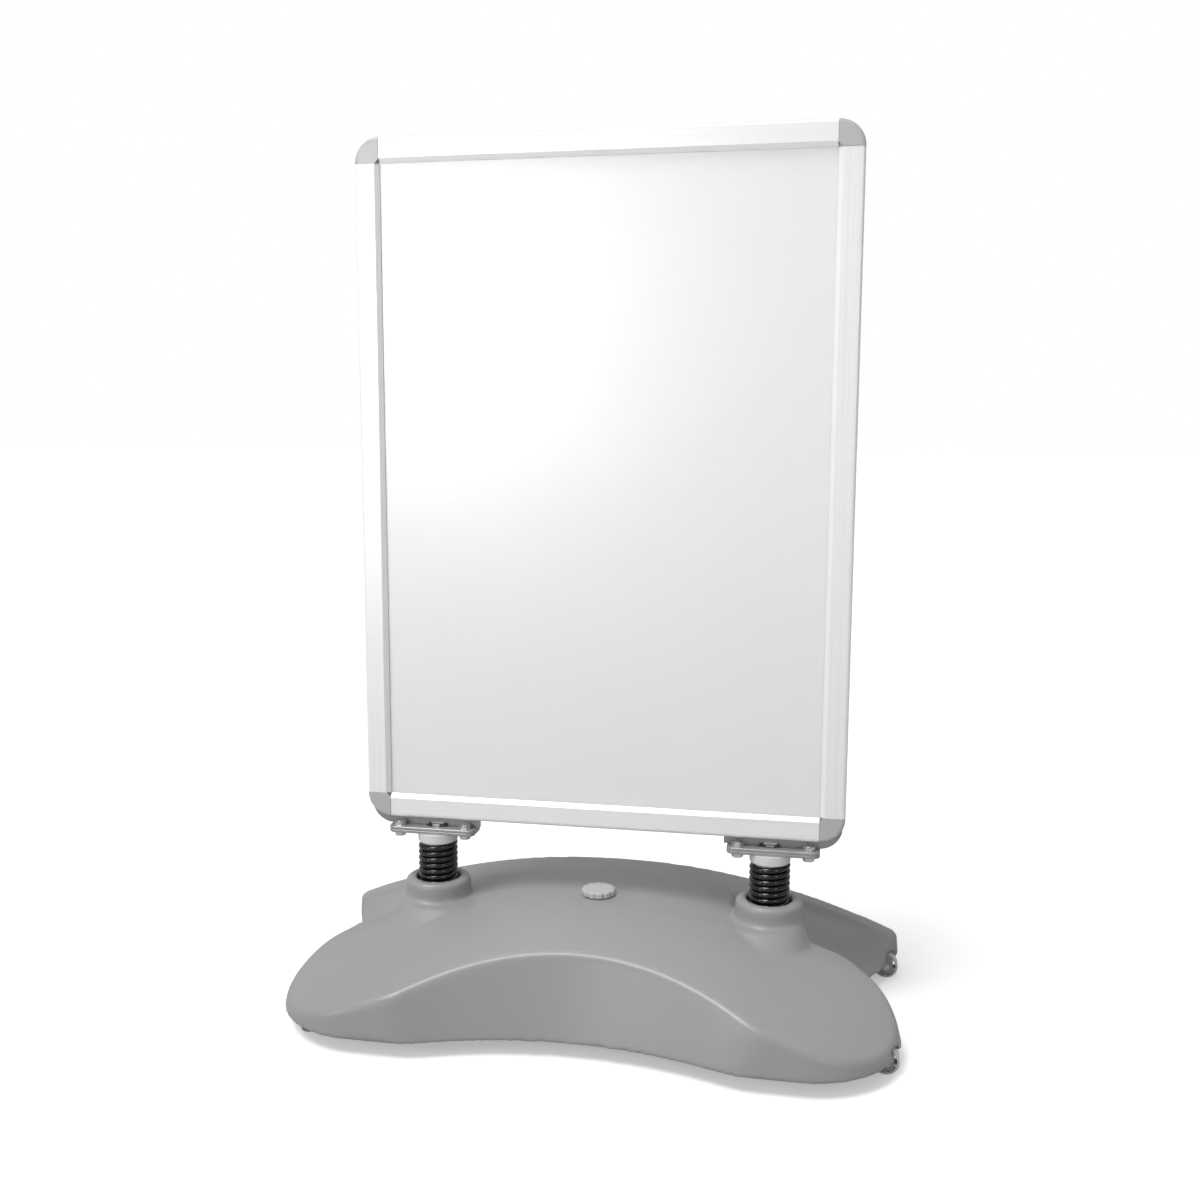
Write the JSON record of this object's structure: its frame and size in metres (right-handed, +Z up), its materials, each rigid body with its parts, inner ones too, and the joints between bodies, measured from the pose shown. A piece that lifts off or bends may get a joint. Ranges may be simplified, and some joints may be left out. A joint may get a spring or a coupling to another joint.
{
  "type": "water base pavement sign",
  "caption": "Double-sided snap-frame poster sign on two coil springs, standing on a hollow water-filled base with lobed front feet and tip-and-roll wheels at one end.",
  "frame": {"origin": "centre of the bounding box on the ground plane", "axes": "+X to the right as seen from the front, +Y to the back, +Z up"},
  "size_m": [0.792, 0.395, 1.109],
  "materials": {
    "base_plastic": "moulded grey polyethylene, fine satin grain",
    "cap_plastic": "light grey moulded plastic",
    "rubber": "black rubber",
    "wheel_plastic": "grey nylon",
    "zinc_steel": "bright zinc plate",
    "spring_black": "gloss black enamel",
    "plug_plastic": "off-white nylon",
    "bracket_metal": "satin grey",
    "board": "grey board",
    "anodised": "satin silver anodised",
    "corner_plastic": "silver-grey satin",
    "clear_sheet": "clear gloss sheet",
    "paper": "blank white paper"
  },
  "bodies": {
    "base": {"water_base": "base_plastic", "base_feet": "base_plastic", "wheel_cheeks": "base_plastic", "wheel_axles": "zinc_steel", "axle_clips": "zinc_steel", "lower_plug_left": "plug_plastic", "lower_plug_right": "plug_plastic", "anchor_bolts": "zinc_steel", "spring_left": "spring_black", "spring_right": "spring_black"},
    "sign": {"upper_plug_left": "plug_plastic", "upper_plug_right": "plug_plastic", "lower_plate_left": "bracket_metal", "lower_plate_right": "bracket_metal", "upper_plate_left": "bracket_metal", "upper_plate_right": "bracket_metal", "spring_bolts": "zinc_steel", "plate_bolts": "zinc_steel", "plate_nuts": "zinc_steel", "shoe_left": "bracket_metal", "shoe_right": "bracket_metal", "shoe_rivets": "zinc_steel", "core_panel": "board", "front_base_top": "anodised", "front_base_bottom": "anodised", "front_base_left": "anodised", "front_base_right": "anodised", "rear_base_top": "anodised", "rear_base_bottom": "anodised", "rear_base_left": "anodised", "rear_base_right": "anodised", "front_corner_tl": "corner_plastic", "front_corner_tr": "corner_plastic", "front_corner_bl": "corner_plastic", "front_corner_br": "corner_plastic", "rear_corner_tl": "corner_plastic", "rear_corner_tr": "corner_plastic", "rear_corner_bl": "corner_plastic", "rear_corner_br": "corner_plastic", "front_leaf_springs": "zinc_steel", "front_cover": "clear_sheet", "front_poster": "paper", "front_backing": "board", "rear_leaf_springs": "zinc_steel", "rear_cover": "clear_sheet", "rear_poster": "paper", "rear_backing": "board"},
    "seal": {"filler_seal": "rubber"},
    "cap": {"filler_cap": "cap_plastic"},
    "front_roller": {"wheel_front": "wheel_plastic"},
    "rear_roller": {"wheel_rear": "wheel_plastic"},
    "front_top_cover_rail": {"front_rail_top": "anodised"},
    "front_bottom_cover_rail": {"front_rail_bottom": "anodised"},
    "front_left_cover_rail": {"front_rail_left": "anodised"},
    "front_right_cover_rail": {"front_rail_right": "anodised"},
    "rear_top_cover_rail": {"rear_rail_top": "anodised"},
    "rear_bottom_cover_rail": {"rear_rail_bottom": "anodised"},
    "rear_left_cover_rail": {"rear_rail_left": "anodised"},
    "rear_right_cover_rail": {"rear_rail_right": "anodised"}
  },
  "joints": [
    {"name": "sign_sway", "type": "hinge", "parent": "base", "child": "sign", "pos_m": [0, 0.02875, 0.173], "axis": [1, 0, 0], "range_deg": [-20, 20], "stiffness_Nm_per_rad": 120, "deforming": ["spring_left", "spring_right"]},
    {"name": "cap_turn", "type": "hinge", "parent": "base", "child": "seal", "pos_m": [0, 0.02, 0.143], "axis": [0, 0, 1], "range_deg": [0, 1260]},
    {"name": "cap_lift", "type": "slide", "parent": "seal", "child": "cap", "axis": [0, 0, 1], "range_m": [0, 0.014]},
    {"name": "wheel_front_spin", "type": "hinge", "parent": "base", "child": "front_roller", "pos_m": [0.368, -0.11, 0.016], "axis": [0, 1, 0], "continuous": true},
    {"name": "wheel_rear_spin", "type": "hinge", "parent": "base", "child": "rear_roller", "pos_m": [0.378, 0.16, 0.016], "axis": [0, 1, 0], "continuous": true},
    {"name": "front_top_open", "type": "hinge", "parent": "sign", "child": "front_top_cover_rail", "pos_m": [0, 0.0225, 1.106], "axis": [-1, 0, 0], "range_deg": [0, 95]},
    {"name": "front_bottom_open", "type": "hinge", "parent": "sign", "child": "front_bottom_cover_rail", "pos_m": [0, 0.0225, 0.234], "axis": [1, 0, 0], "range_deg": [0, 95]},
    {"name": "front_left_open", "type": "hinge", "parent": "sign", "child": "front_left_cover_rail", "pos_m": [-0.3125, 0.0225, 0.67], "axis": [0, 0, -1], "range_deg": [0, 95]},
    {"name": "front_right_open", "type": "hinge", "parent": "sign", "child": "front_right_cover_rail", "pos_m": [0.3125, 0.0225, 0.67], "axis": [0, 0, 1], "range_deg": [0, 95]},
    {"name": "rear_top_open", "type": "hinge", "parent": "sign", "child": "rear_top_cover_rail", "pos_m": [0, 0.035, 1.106], "axis": [1, 0, 0], "range_deg": [0, 95]},
    {"name": "rear_bottom_open", "type": "hinge", "parent": "sign", "child": "rear_bottom_cover_rail", "pos_m": [0, 0.035, 0.234], "axis": [-1, 0, 0], "range_deg": [0, 95]},
    {"name": "rear_left_open", "type": "hinge", "parent": "sign", "child": "rear_left_cover_rail", "pos_m": [-0.3125, 0.035, 0.67], "axis": [0, 0, 1], "range_deg": [0, 95]},
    {"name": "rear_right_open", "type": "hinge", "parent": "sign", "child": "rear_right_cover_rail", "pos_m": [0.3125, 0.035, 0.67], "axis": [0, 0, -1], "range_deg": [0, 95]}
  ],
  "couplings": [
    {"joint": "cap_turn", "follows": "cap_lift", "rad_per_m": 1570}
  ]
}
